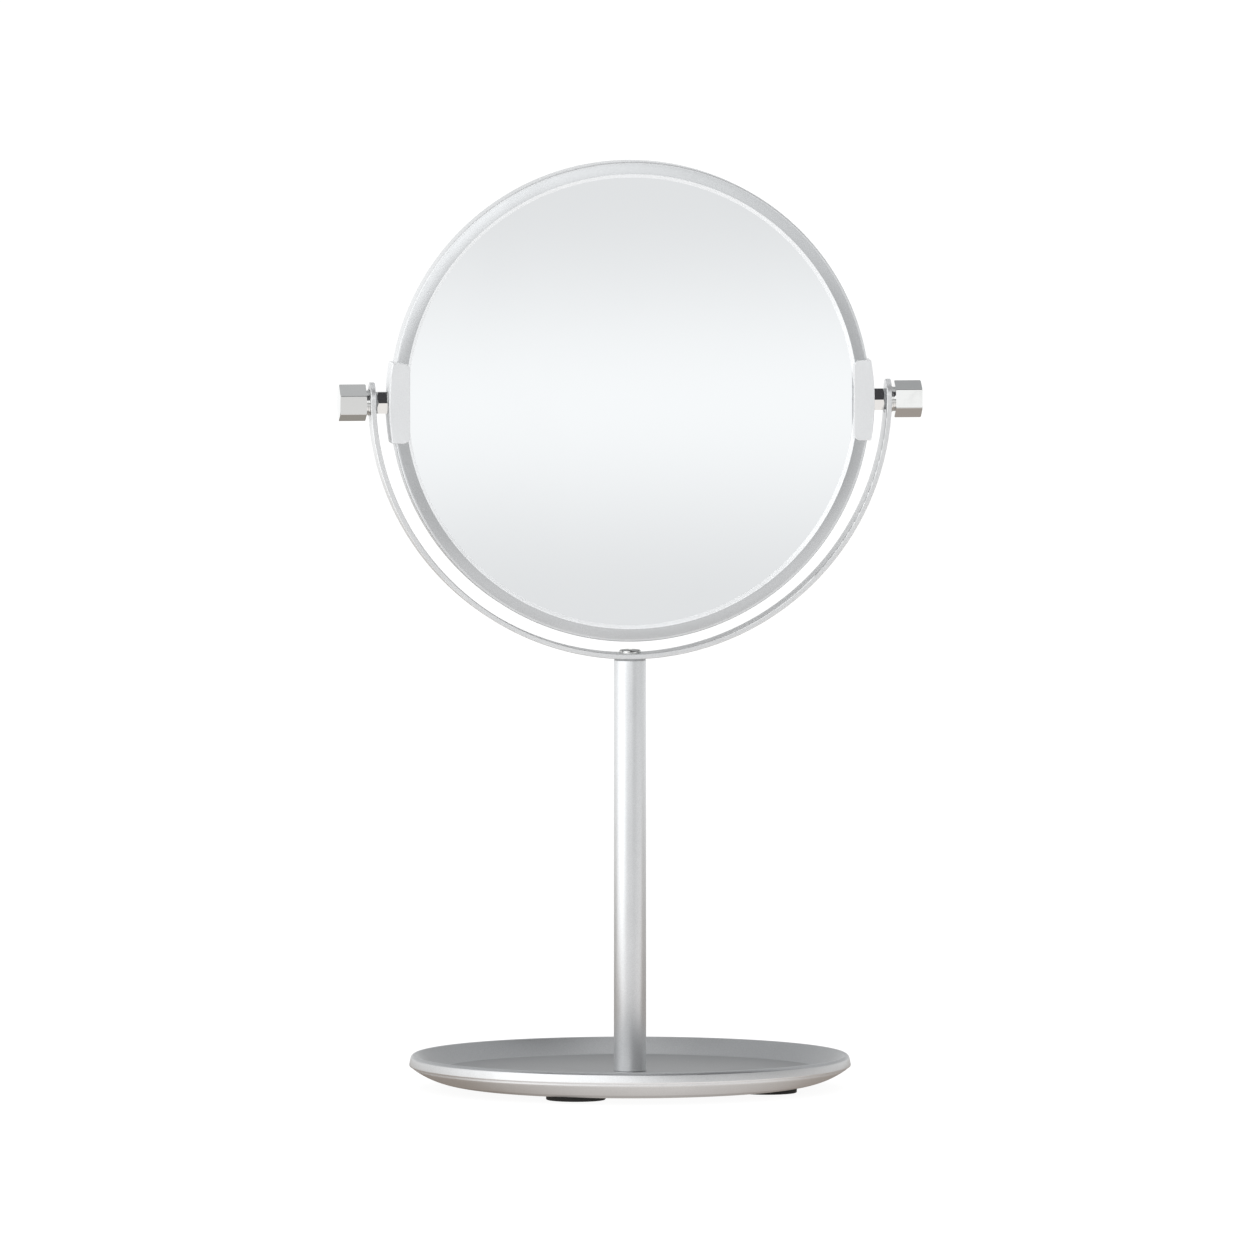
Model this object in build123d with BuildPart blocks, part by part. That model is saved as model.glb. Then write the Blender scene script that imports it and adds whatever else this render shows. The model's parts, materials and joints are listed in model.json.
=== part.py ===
"""Free-standing shaving mirror: a two-sided round mirror that tilts in a strip yoke on a tray base.

Millimetres, +Z up. The origin is on the table under the stem's axis, and the plain mirror faces -Y.
"""

import os
from math import sqrt

from build123d import *

# ---------------------------------------------------------------- driving dimensions

PIVOT_Z = 255.0  # height of the tilt axis above the table

RING_R = 89.0  # outside radius of the mirror ring
RING_DEPTH = 12.0  # front edge to back edge
RING_WALL = 0.8
BAND_INNER_R = 84.1  # inner edge of the front band, its most proud circle
BAND_FALL = 0.6  # how far the band falls back towards its outer edge
LIP_R = 82.9  # sloping lip between the band and the glass
EDGE_ROUND = 0.9  # outer corner of the band

GLASS_R = 86.2
GLASS_THICK = 2.0
GLASS_FACE = 4.1  # glass surface, from the ring's middle plane
MAGNIFIER_SPHERE_R = 1500.0  # radius of the concave face
SPACER_INNER_R = 78.0

STRIP_WIDTH = 12.0  # yoke strip
STRIP_THICK = 2.0
YOKE_R = 97.0  # outside radius of the yoke's half circle
YOKE_RISE = 1.5  # the half circle's centre stands this far above the tilt axis

CLIP_INNER_X = 82.5  # inner edge of the clip's plates
CLIP_APEX_X = 90.3  # top of the clip's outer face, which runs concentric with the ring
CLIP_HEIGHT = 29.8
CLIP_PLATE = 1.3

STUD_R = 2.5  # M5 stud
RUNNING = 0.08  # radial clearance where something turns on the stud
NUT_SEAT_X = 90.15
NUT_FLATS = 8.0
NUT_THICK = 4.2
ARM_INNER_X = 95.0  # coined flats round the pivot hole
ARM_OUTER_X = 96.8
WASHER_THICK = 0.8
KNOB_FLATS = 12.0
KNOB_LENGTH = 9.9  # hexagonal length, past the neck
KNOB_EDGE_ROUND = 0.45
KNOB_NECK_R = 4.5
KNOB_NECK = 0.75
KNOB_TURN = {"left": 6.4, "right": -3.5}  # degrees about +X, as the knobs happen to stop

TUBE_R = 6.0
TUBE_BORE_R = 5.0
SADDLE_THICK = 0.5
YOKE_SCREW_HEAD_R = 4.1
YOKE_SCREW_HEAD_H = 1.6

BASE_R = 82.0  # widest circle of the base
RIM_Z = 12.4
RIM_RIDGE_R = 80.2
TRAY_FLOOR_Z = 6.4
TRAY_FLOOR_R = 73.0
TRAY_SHEET = 1.2
PAN_SHEET = 1.0
PAN_FLAT_R = 62.0
PAN_EDGE_R = 80.4
PAN_EDGE_Z = 7.4

FOOT_THICK = 1.5
FOOT_R = 11.0
FOOT_CIRCLE_R = 54.5
FOOT_START_ANGLE = 62.0

BOLT_R = 3.0  # M6 bolt through the base
BOLT_HEAD_R = 5.6
BOLT_HEAD_H = 2.5

# ---------------------------------------------------------------- worked out

HALF_DEPTH = RING_DEPTH / 2
SEAM_Y = HALF_DEPTH - BAND_FALL - EDGE_ROUND  # where the ring's outer corner meets its wall
LIP_FOOT_Y = GLASS_FACE + 0.05
TILT_AXIS = Axis((0, 0, PIVOT_Z), (1, 0, 0))  # studs, nuts and knobs turn about it too
ROUND_AXIS = Axis((0, 0, PIVOT_Z), (0, 1, 0))  # the mirror's own round axis
RING_PLANE = Plane(origin=(0, 0, PIVOT_Z), x_dir=(1, 0, 0), z_dir=(0, 0, 1))  # radius, Y
YOKE_CENTRE_Z = PIVOT_Z + YOKE_RISE
YOKE_BOTTOM_Z = YOKE_CENTRE_Z - YOKE_R
YOKE_SEAT_Z = YOKE_BOTTOM_Z + STRIP_THICK
TUBE_TOP_Z = YOKE_BOTTOM_Z - SADDLE_THICK
WASHER_X = ARM_OUTER_X + 0.05
NECK_X = WASHER_X + WASHER_THICK
KNOB_X = NECK_X + KNOB_NECK
STUD_END_X = KNOB_X + 7.0
SIDES = {"left": -1, "right": 1}

os.makedirs("parts", exist_ok=True)


def save(builder, name):
    """Label the finished piece and write its STEP file."""
    builder.part.label = name
    export_step(builder.part, f"parts/{name}.step")


def side_plane(side, x):
    """Plane square to the tilt axis at distance x from the middle, facing outwards."""
    return Plane(origin=(side * x, 0, PIVOT_Z), x_dir=(0, 1, 0), z_dir=(side, 0, 0))


# ---------------------------------------------------------------- mirror ring
# Pressed hoop with a slightly coned front band, a sloping lip down to the glass and an open back.

with BuildPart() as mirror_ring:
    with BuildSketch(RING_PLANE) as hoop_section:
        wall_inner = RING_R - RING_WALL
        with BuildLine():
            Polyline(
                (RING_R, -SEAM_Y),
                (RING_R, SEAM_Y),
                (wall_inner, SEAM_Y),
                (wall_inner, -SEAM_Y),
                (BAND_INNER_R + 0.4, -HALF_DEPTH + RING_WALL + 0.1),
                (LIP_R + 0.7, -LIP_FOOT_Y),
                (LIP_R, -LIP_FOOT_Y),
                (BAND_INNER_R, -HALF_DEPTH),
                (RING_R - EDGE_ROUND, -HALF_DEPTH + BAND_FALL),
            )
            RadiusArc((RING_R - EDGE_ROUND, -HALF_DEPTH + BAND_FALL), (RING_R, -SEAM_Y), -EDGE_ROUND)
        make_face()
        band_edge = hoop_section.vertices().sort_by_distance((BAND_INNER_R, -HALF_DEPTH, PIVOT_Z))[0]
        fillet(band_edge, 0.25)
    revolve(axis=ROUND_AXIS)
    for side in SIDES.values():
        with Locations(side_plane(side, RING_R)):
            Hole(STUD_R + 0.1, depth=4)
save(mirror_ring, "mirror_ring")

# ---------------------------------------------------------------- rear bezel
# Snaps into the open back: the same coned band and lip, and a skirt inside the hoop with gaps at the studs.

with BuildPart() as rear_bezel:
    with BuildSketch(RING_PLANE) as bezel_section:
        bezel_seam_y = SEAM_Y + 0.02
        skirt_outer = RING_R - RING_WALL - 0.05
        with BuildLine():
            Polyline(
                (RING_R, bezel_seam_y),
                (skirt_outer, bezel_seam_y),
                (skirt_outer, 1.5),
                (skirt_outer - RING_WALL, 1.5),
                (skirt_outer - RING_WALL, SEAM_Y - RING_WALL),
                (BAND_INNER_R + 0.4, HALF_DEPTH - RING_WALL - 0.1),
                (LIP_R + 0.7, LIP_FOOT_Y),
                (LIP_R, LIP_FOOT_Y),
                (BAND_INNER_R, HALF_DEPTH),
                (RING_R - EDGE_ROUND, HALF_DEPTH - BAND_FALL),
            )
            RadiusArc((RING_R - EDGE_ROUND, HALF_DEPTH - BAND_FALL), (RING_R, bezel_seam_y), EDGE_ROUND)
        make_face()
        band_edge = bezel_section.vertices().sort_by_distance((BAND_INNER_R, HALF_DEPTH, PIVOT_Z))[0]
        fillet(band_edge, 0.25)
    revolve(axis=ROUND_AXIS)
    for side in SIDES.values():
        with Locations((side * skirt_outer, 0, PIVOT_Z)):
            Box(4, 9.4, 12, mode=Mode.SUBTRACT)
save(rear_bezel, "rear_bezel")

# ---------------------------------------------------------------- glass, spacer and pad

with BuildPart() as front_mirror_glass:
    with BuildSketch(Plane.XZ.offset(GLASS_FACE)):
        with Locations((0, PIVOT_Z)):
            Circle(GLASS_R)
    extrude(amount=-GLASS_THICK)
    chamfer(front_mirror_glass.edges(), 0.25)
save(front_mirror_glass, "front_mirror_glass")

with BuildPart() as rear_magnifying_glass:
    with BuildSketch(RING_PLANE):
        face_sag = GLASS_R**2 / (2 * MAGNIFIER_SPHERE_R)
        front_middle = GLASS_FACE - face_sag
        back_middle = front_middle - GLASS_THICK
        with BuildLine():
            RadiusArc((0, front_middle), (GLASS_R, GLASS_FACE), -MAGNIFIER_SPHERE_R)
            Line((GLASS_R, GLASS_FACE), (GLASS_R, GLASS_FACE - GLASS_THICK))
            RadiusArc((0, back_middle), (GLASS_R, GLASS_FACE - GLASS_THICK), -MAGNIFIER_SPHERE_R)
            Line((0, back_middle), (0, front_middle))
        make_face()
    revolve(axis=ROUND_AXIS)
save(rear_magnifying_glass, "rear_magnifying_glass")

with BuildPart() as glass_spacer_ring:
    spacer_back = 1.6
    with BuildSketch(Plane.XZ.offset(GLASS_FACE - GLASS_THICK)):
        with Locations((0, PIVOT_Z)):
            Circle(GLASS_R)
            Circle(SPACER_INNER_R, mode=Mode.SUBTRACT)
    extrude(amount=-(GLASS_FACE - GLASS_THICK + spacer_back))
save(glass_spacer_ring, "glass_spacer_ring")

with BuildPart() as backing_pad:
    with BuildSketch(Plane.XZ.offset(GLASS_FACE - GLASS_THICK)):
        with Locations((0, PIVOT_Z)):
            Circle(SPACER_INNER_R - 1)
    extrude(amount=-1.2)
save(backing_pad, "backing_pad")

# ---------------------------------------------------------------- pivot hardware, once a side

for name, side in SIDES.items():
    # Clip: a C-shaped bracket over the ring's edge, bulged outside, with a flat for the nut.
    with BuildPart() as clip:
        plate_y = HALF_DEPTH + 0.05 + CLIP_PLATE
        half_height = CLIP_HEIGHT / 2
        shoulder_x = sqrt(CLIP_APEX_X**2 - half_height**2)
        with BuildSketch(Plane.XZ.offset(-plate_y)) as outline:
            with BuildLine():
                Polyline(
                    (side * shoulder_x, PIVOT_Z + half_height),
                    (side * CLIP_INNER_X, PIVOT_Z + half_height),
                    (side * CLIP_INNER_X, PIVOT_Z - half_height),
                    (side * shoulder_x, PIVOT_Z - half_height),
                )
                ThreePointArc(
                    (side * shoulder_x, PIVOT_Z - half_height),
                    (side * CLIP_APEX_X, PIVOT_Z),
                    (side * shoulder_x, PIVOT_Z + half_height),
                )
            make_face()
            inner_corners = outline.vertices().sort_by(Axis.X, reverse=side > 0)[-2:]
            outer_corners = outline.vertices().sort_by(Axis.X, reverse=side > 0)[:2]
            fillet(inner_corners, 2.6)
            fillet(outer_corners, 1.2)
        extrude(amount=2 * plate_y)
        bends = clip.edges().group_by(Axis.Y)[0] + clip.edges().group_by(Axis.Y)[-1]
        fillet(bends, 0.45)
        with BuildSketch(Plane.XZ.offset(-HALF_DEPTH - 0.05)):
            with Locations((0, PIVOT_Z)):
                Circle(RING_R + 0.05)
        extrude(amount=RING_DEPTH + 0.1, mode=Mode.SUBTRACT)
        with BuildSketch(side_plane(side, NUT_SEAT_X)):
            Circle(5.4)
        extrude(amount=2, mode=Mode.SUBTRACT)
        with Locations(side_plane(side, NUT_SEAT_X)):
            Hole(STUD_R + 0.1, depth=6)
    save(clip, f"{name}_clip")

    # Stud: its flat head sits inside the hoop, and the nut clamps clip and hoop against it.
    with BuildPart() as stud:
        with BuildSketch(side_plane(side, 86.6)):
            Circle(4.0)
        extrude(amount=1.3)
        with BuildSketch(side_plane(side, 86.6)):
            Circle(STUD_R)
        extrude(amount=STUD_END_X - 86.6)
        stud_tip = stud.edges().filter_by(GeomType.CIRCLE).sort_by(Axis.X, reverse=side < 0)[-1]
        chamfer(stud_tip, 0.4)
    save(stud, f"{name}_stud")

    # Nut: hexagonal, two flats level, corners chamfered at both faces.
    with BuildPart() as nut:
        corner_r = NUT_FLATS / sqrt(3)
        with BuildSketch(side_plane(side, NUT_SEAT_X)):
            RegularPolygon(corner_r, 6)
        extrude(amount=NUT_THICK)
        with BuildSketch(Plane(origin=(0, 0, PIVOT_Z), x_dir=(side, 0, 0), z_dir=(0, -side, 0))):
            with BuildLine():
                Polyline(
                    (NUT_SEAT_X, 0),
                    (NUT_SEAT_X, NUT_FLATS / 2 - 0.05),
                    (NUT_SEAT_X + 0.45, corner_r),
                    (NUT_SEAT_X + NUT_THICK - 0.45, corner_r),
                    (NUT_SEAT_X + NUT_THICK, NUT_FLATS / 2 - 0.05),
                    (NUT_SEAT_X + NUT_THICK, 0),
                    close=True,
                )
            make_face()
        revolve(axis=TILT_AXIS, mode=Mode.INTERSECT)
        with Locations(side_plane(side, NUT_SEAT_X + NUT_THICK)):
            Hole(STUD_R, depth=2 * NUT_THICK)
    save(nut, f"{name}_lock_nut")

    # Inner washer: thin plastic between the nut and the yoke arm.
    with BuildPart() as inner_washer:
        with BuildSketch(side_plane(side, NUT_SEAT_X + NUT_THICK)):
            Circle(NUT_FLATS / 2 - 0.1)
            Circle(STUD_R, mode=Mode.SUBTRACT)
        extrude(amount=ARM_INNER_X - 0.05 - NUT_SEAT_X - NUT_THICK)
    save(inner_washer, f"{name}_inner_washer")

    # Friction washer: polished steel between the yoke arm and the knob.
    with BuildPart() as friction_washer:
        with BuildSketch(side_plane(side, WASHER_X)):
            Circle(4.8)
            Circle(STUD_R + RUNNING, mode=Mode.SUBTRACT)
        extrude(amount=WASHER_THICK)
        rims = friction_washer.edges().filter_by(GeomType.CIRCLE).sort_by(SortBy.RADIUS)[-2:]
        fillet(rims, 0.15)
    save(friction_washer, f"{name}_friction_washer")

    # Knob: hexagonal bar with a blind threaded hole.
    with BuildPart() as knob:
        corner_r = KNOB_FLATS / sqrt(3)
        knob_plane = side_plane(side, KNOB_X)
        # a corner points straight up, then the knob turns by its own angle
        with BuildSketch(knob_plane) as bar_section:
            RegularPolygon(corner_r, 6, rotation=30 + side * KNOB_TURN[name])
            fillet(bar_section.vertices(), KNOB_EDGE_ROUND)
        extrude(amount=KNOB_LENGTH)
        with BuildSketch(Plane(origin=(0, 0, PIVOT_Z), x_dir=(side, 0, 0), z_dir=(0, -side, 0))):
            with BuildLine():
                Polyline(
                    (KNOB_X, 0),
                    (KNOB_X, corner_r - 0.35),
                    (KNOB_X + 0.2, corner_r),
                    (KNOB_X + KNOB_LENGTH - 0.25, corner_r),
                    (KNOB_X + KNOB_LENGTH, corner_r - 0.4),
                    (KNOB_X + KNOB_LENGTH, 0),
                    close=True,
                )
            make_face()
        revolve(axis=TILT_AXIS, mode=Mode.INTERSECT)
        with BuildSketch(side_plane(side, NECK_X)):
            Circle(KNOB_NECK_R)
        extrude(amount=KNOB_NECK + 0.5)
        with BuildSketch(side_plane(side, NECK_X)):
            Circle(STUD_R + RUNNING)
        extrude(amount=8.5, mode=Mode.SUBTRACT)
    save(knob, f"{name}_knob")

# ---------------------------------------------------------------- yoke
# Flat strip bent to a half circle; its full-round ends stand a little above the pivot holes.

with BuildPart() as yoke:
    inner_r = YOKE_R - STRIP_THICK
    end_r = STRIP_WIDTH / 2
    with BuildSketch(Plane.XZ.offset(-end_r)):
        with BuildLine():
            ThreePointArc((-YOKE_R, YOKE_CENTRE_Z), (0, YOKE_BOTTOM_Z), (YOKE_R, YOKE_CENTRE_Z))
            Polyline(
                (YOKE_R, YOKE_CENTRE_Z),
                (YOKE_R, YOKE_CENTRE_Z + end_r),
                (inner_r, YOKE_CENTRE_Z + end_r),
                (inner_r, YOKE_CENTRE_Z),
            )
            ThreePointArc((inner_r, YOKE_CENTRE_Z), (0, YOKE_SEAT_Z), (-inner_r, YOKE_CENTRE_Z))
            Polyline(
                (-inner_r, YOKE_CENTRE_Z),
                (-inner_r, YOKE_CENTRE_Z + end_r),
                (-YOKE_R, YOKE_CENTRE_Z + end_r),
                (-YOKE_R, YOKE_CENTRE_Z),
            )
        make_face()
    extrude(amount=STRIP_WIDTH)
    with BuildSketch(Plane.YZ.offset(-YOKE_R - 1)):
        with Locations((0, YOKE_CENTRE_Z + end_r)):
            Rectangle(STRIP_WIDTH + 2, 2 * end_r)
        with Locations((0, YOKE_CENTRE_Z)):
            Circle(end_r, mode=Mode.SUBTRACT)
    extrude(amount=2 * YOKE_R + 2, mode=Mode.SUBTRACT)
    strip_edges = yoke.edges().filter_by(Axis.X, reverse=True)
    fillet(strip_edges, 0.4)
    for side in SIDES.values():
        with BuildSketch(side_plane(side, ARM_INNER_X - 2)):
            Circle(5.2)
        extrude(amount=2, mode=Mode.SUBTRACT)
        with BuildSketch(side_plane(side, ARM_OUTER_X)):
            Circle(5.2)
        extrude(amount=2, mode=Mode.SUBTRACT)
        with BuildSketch(side_plane(side, ARM_INNER_X - 3)):
            Circle(STUD_R + RUNNING)
        extrude(amount=6, mode=Mode.SUBTRACT)
    with BuildSketch(Plane.XY.offset(YOKE_SEAT_Z)):
        Circle(YOKE_SCREW_HEAD_R + 0.2)
    extrude(amount=1, mode=Mode.SUBTRACT)
    with BuildSketch(Plane.XY.offset(YOKE_BOTTOM_Z - 1)):
        Circle(STUD_R + 0.2)
    extrude(amount=STRIP_THICK + 2, mode=Mode.SUBTRACT)
save(yoke, "yoke")

# ---------------------------------------------------------------- yoke screw and saddle

with BuildPart() as yoke_screw:
    shoulder = 0.9
    crown_r = YOKE_SCREW_HEAD_R - 0.8
    crown_z = YOKE_SEAT_Z + YOKE_SCREW_HEAD_H - 0.25
    with BuildSketch(Plane.XZ):
        with BuildLine():
            Polyline(
                (0, YOKE_SEAT_Z + YOKE_SCREW_HEAD_H),
                (0, YOKE_SEAT_Z - 14.5),
                (STUD_R - 0.4, YOKE_SEAT_Z - 14.5),
                (STUD_R, YOKE_SEAT_Z - 14.1),
                (STUD_R, YOKE_SEAT_Z),
                (YOKE_SCREW_HEAD_R, YOKE_SEAT_Z),
                (YOKE_SCREW_HEAD_R, crown_z - 0.75),
            )
            RadiusArc((YOKE_SCREW_HEAD_R, crown_z - 0.75), (crown_r, crown_z), -shoulder)
            RadiusArc((crown_r, crown_z), (0, YOKE_SEAT_Z + YOKE_SCREW_HEAD_H), -22)
        make_face()
    revolve(axis=Axis.Z)
    with BuildSketch(Plane.XY.offset(YOKE_SEAT_Z + YOKE_SCREW_HEAD_H - 1.1)):
        Rectangle(4.0, 0.9)
        Rectangle(0.9, 4.0)
    extrude(amount=2, taper=-10, mode=Mode.SUBTRACT)
save(yoke_screw, "yoke_screw")

with BuildPart() as yoke_saddle:
    with BuildSketch(Plane.XY.offset(TUBE_TOP_Z)):
        Circle(TUBE_R - 0.25)
        Circle(STUD_R + 0.2, mode=Mode.SUBTRACT)
    extrude(amount=SADDLE_THICK + 1)
    with BuildSketch(Plane.XZ.offset(-TUBE_R - 1)):
        with Locations((0, YOKE_CENTRE_Z)):
            Circle(YOKE_R)
    extrude(amount=2 * TUBE_R + 2, mode=Mode.SUBTRACT)
save(yoke_saddle, "yoke_saddle")

# ---------------------------------------------------------------- stem tube and its inserts

with BuildPart() as stem_tube:
    with BuildSketch(Plane.XY.offset(TRAY_FLOOR_Z)):
        Circle(TUBE_R)
        Circle(TUBE_BORE_R, mode=Mode.SUBTRACT)
    extrude(amount=TUBE_TOP_Z - TRAY_FLOOR_Z)
    outer_ends = stem_tube.edges().filter_by(GeomType.CIRCLE).sort_by(SortBy.RADIUS)[-2:]
    fillet(outer_ends, 0.25)
save(stem_tube, "stem_tube")

with BuildPart() as stem_top_insert:
    with BuildSketch(Plane.XY.offset(TUBE_TOP_Z - 0.1)):
        Circle(TUBE_BORE_R)
        Circle(STUD_R, mode=Mode.SUBTRACT)
    extrude(amount=-16)
save(stem_top_insert, "stem_top_insert")

with BuildPart() as stem_bottom_insert:
    with BuildSketch(Plane.XY.offset(TRAY_FLOOR_Z)):
        Circle(TUBE_BORE_R)
        Circle(BOLT_R, mode=Mode.SUBTRACT)
    extrude(amount=18)
save(stem_bottom_insert, "stem_bottom_insert")

# ---------------------------------------------------------------- base tray
# Pressed dish: flat floor, sloping wall, and a folded rim whose outer band flares downwards.

with BuildPart() as base_tray:
    tray_under_z = TRAY_FLOOR_Z - TRAY_SHEET
    band_top = (81.35, 11.5)
    band_bottom = (BASE_R, 8.2)
    with BuildSketch(Plane.XZ) as tray_section:
        with BuildLine():
            Polyline(
                (78.9, 11.6),
                (TRAY_FLOOR_R, TRAY_FLOOR_Z),
                (BOLT_R + 0.3, TRAY_FLOOR_Z),
                (BOLT_R + 0.3, tray_under_z),
                (TRAY_FLOOR_R + 0.4, tray_under_z),
                (79.6, 10.6),
                (80.25, 10.9),
                (BASE_R - TRAY_SHEET, 8.2),
                band_bottom,
                band_top,
            )
            ThreePointArc(band_top, (RIM_RIDGE_R, RIM_Z), (78.9, 11.6))
        make_face()
        floor_corner = tray_section.vertices().sort_by_distance((TRAY_FLOOR_R, 0, TRAY_FLOOR_Z))[0]
        fillet(floor_corner, 1.2)
        band_corner = tray_section.vertices().sort_by_distance((BASE_R, 0, 8.2))[0]
        fillet(band_corner, 0.5)
    revolve(axis=Axis.Z)
save(base_tray, "base_tray")

# ---------------------------------------------------------------- base pan
# Lower shell, curved up at the side, with a dimple in the middle for the bolt head.

with BuildPart() as base_pan:
    side_rise = PAN_EDGE_Z - FOOT_THICK
    side_run = PAN_EDGE_R - PAN_FLAT_R
    curve_r = (side_run**2 + side_rise**2) / (2 * side_rise)
    curve_centre_z = FOOT_THICK + curve_r
    lip_inner = PAN_EDGE_R - PAN_SHEET
    lip_z = curve_centre_z - sqrt((curve_r - PAN_SHEET) ** 2 - (lip_inner - PAN_FLAT_R) ** 2)
    with BuildSketch(Plane.XZ):
        with BuildLine():
            Polyline(
                (PAN_FLAT_R, FOOT_THICK),
                (14, FOOT_THICK),
                (11, 4.2),
                (BOLT_R + 0.3, 4.2),
                (BOLT_R + 0.3, tray_under_z),
                (11.5, tray_under_z),
                (14.5, FOOT_THICK + PAN_SHEET),
                (PAN_FLAT_R, FOOT_THICK + PAN_SHEET),
            )
            RadiusArc((PAN_FLAT_R, FOOT_THICK + PAN_SHEET), (lip_inner, lip_z), -(curve_r - PAN_SHEET))
            Polyline((lip_inner, lip_z), (lip_inner, 9.2), (PAN_EDGE_R, 9.2), (PAN_EDGE_R, PAN_EDGE_Z))
            RadiusArc((PAN_EDGE_R, PAN_EDGE_Z), (PAN_FLAT_R, FOOT_THICK), curve_r)
        make_face()
    revolve(axis=Axis.Z)
save(base_pan, "base_pan")

# ---------------------------------------------------------------- base weight, bolt and washer

with BuildPart() as base_weight:
    with BuildSketch(Plane.XY.offset(FOOT_THICK + PAN_SHEET)):
        Circle(60)
        Circle(16, mode=Mode.SUBTRACT)
    extrude(amount=tray_under_z - 0.05 - FOOT_THICK - PAN_SHEET)
save(base_weight, "base_weight")

with BuildPart() as base_washer:
    with BuildSketch(Plane.XY.offset(4.2)):
        Circle(8)
        Circle(BOLT_R + 0.2, mode=Mode.SUBTRACT)
    extrude(amount=-0.8)
save(base_washer, "base_washer")

with BuildPart() as base_bolt:
    bolt_seat_z = 4.2 - 0.8
    with BuildSketch(Plane.XY.offset(bolt_seat_z)):
        Circle(BOLT_HEAD_R)
    extrude(amount=-BOLT_HEAD_H)
    fillet(base_bolt.edges().sort_by(Axis.Z)[0], 0.9)
    with BuildSketch(Plane.XY.offset(bolt_seat_z)):
        Circle(BOLT_R)
    extrude(amount=16)
    chamfer(base_bolt.edges().sort_by(Axis.Z)[-1], 0.5)
    with BuildSketch(Plane.XY.offset(bolt_seat_z - BOLT_HEAD_H + 1.6)):
        Rectangle(5.2, 1.1)
        Rectangle(1.1, 5.2)
    extrude(amount=-3, mode=Mode.SUBTRACT)
save(base_bolt, "base_bolt")

# ---------------------------------------------------------------- rubber feet

for number in range(4):
    with BuildPart() as foot:
        with BuildSketch(Plane.XY):
            with PolarLocations(FOOT_CIRCLE_R, 1, start_angle=FOOT_START_ANGLE + 90 * number):
                Circle(FOOT_R)
        extrude(amount=FOOT_THICK)
        fillet(foot.edges().sort_by(Axis.Z)[0], 0.4)
    save(foot, f"foot_{number + 1}")
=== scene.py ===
"""Free-standing shaving mirror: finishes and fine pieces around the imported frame. Metres throughout."""

import json
import math

import bpy
import numpy as np
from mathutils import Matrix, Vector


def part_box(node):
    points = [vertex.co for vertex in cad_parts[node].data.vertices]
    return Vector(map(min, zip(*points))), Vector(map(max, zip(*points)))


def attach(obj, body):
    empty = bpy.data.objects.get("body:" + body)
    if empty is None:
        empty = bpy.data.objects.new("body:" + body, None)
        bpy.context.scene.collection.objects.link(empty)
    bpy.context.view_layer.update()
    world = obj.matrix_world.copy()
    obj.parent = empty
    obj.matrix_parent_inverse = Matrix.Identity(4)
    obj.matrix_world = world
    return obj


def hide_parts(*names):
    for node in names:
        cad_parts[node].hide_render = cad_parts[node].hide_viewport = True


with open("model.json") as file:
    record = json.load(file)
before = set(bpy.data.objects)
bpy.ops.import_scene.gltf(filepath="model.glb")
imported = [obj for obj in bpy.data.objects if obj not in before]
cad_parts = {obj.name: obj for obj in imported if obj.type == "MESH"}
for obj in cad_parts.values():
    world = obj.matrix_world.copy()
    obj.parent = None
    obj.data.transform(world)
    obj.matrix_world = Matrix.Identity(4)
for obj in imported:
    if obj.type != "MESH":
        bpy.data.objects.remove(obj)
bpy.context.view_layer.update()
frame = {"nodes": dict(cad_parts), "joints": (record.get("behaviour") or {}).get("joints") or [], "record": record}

MM = 0.001
FULL_TURN = 2 * math.pi
TILT_JOINT = next(j for j in frame["joints"] if j["name"] == "mirror_tilt")
PIVOT_Z = TILT_JOINT["pos_m"][2]


# ---------------------------------------------------------------- camera

VIEW_AZIMUTH = math.radians(-6.5)  # the camera stands a little to the left of the mirror's axis
VIEW_ELEVATION = math.radians(4.06)
VIEW_DISTANCE = 12.0
FRAME_WIDTH = 0.4662  # what the picture spans at the stem
AIM_HEIGHT = 0.170
SENSOR_WIDTH = 36.0


def make_camera():
    """Long lens aimed at the stem's axis."""
    data = bpy.data.cameras.new("camera")
    data.sensor_width = SENSOR_WIDTH
    data.lens = SENSOR_WIDTH * VIEW_DISTANCE / FRAME_WIDTH
    data.clip_start = 0.1
    data.clip_end = 60.0
    camera = bpy.data.objects.new("camera", data)
    across = math.cos(VIEW_ELEVATION) * VIEW_DISTANCE
    camera.location = (
        math.sin(VIEW_AZIMUTH) * across,
        -math.cos(VIEW_AZIMUTH) * across,
        AIM_HEIGHT + math.sin(VIEW_ELEVATION) * VIEW_DISTANCE,
    )
    camera.rotation_euler = (math.pi / 2 - VIEW_ELEVATION, 0.0, VIEW_AZIMUTH)
    bpy.context.scene.collection.objects.link(camera)
    bpy.context.scene.camera = camera


# ---------------------------------------------------------------- material helpers


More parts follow.
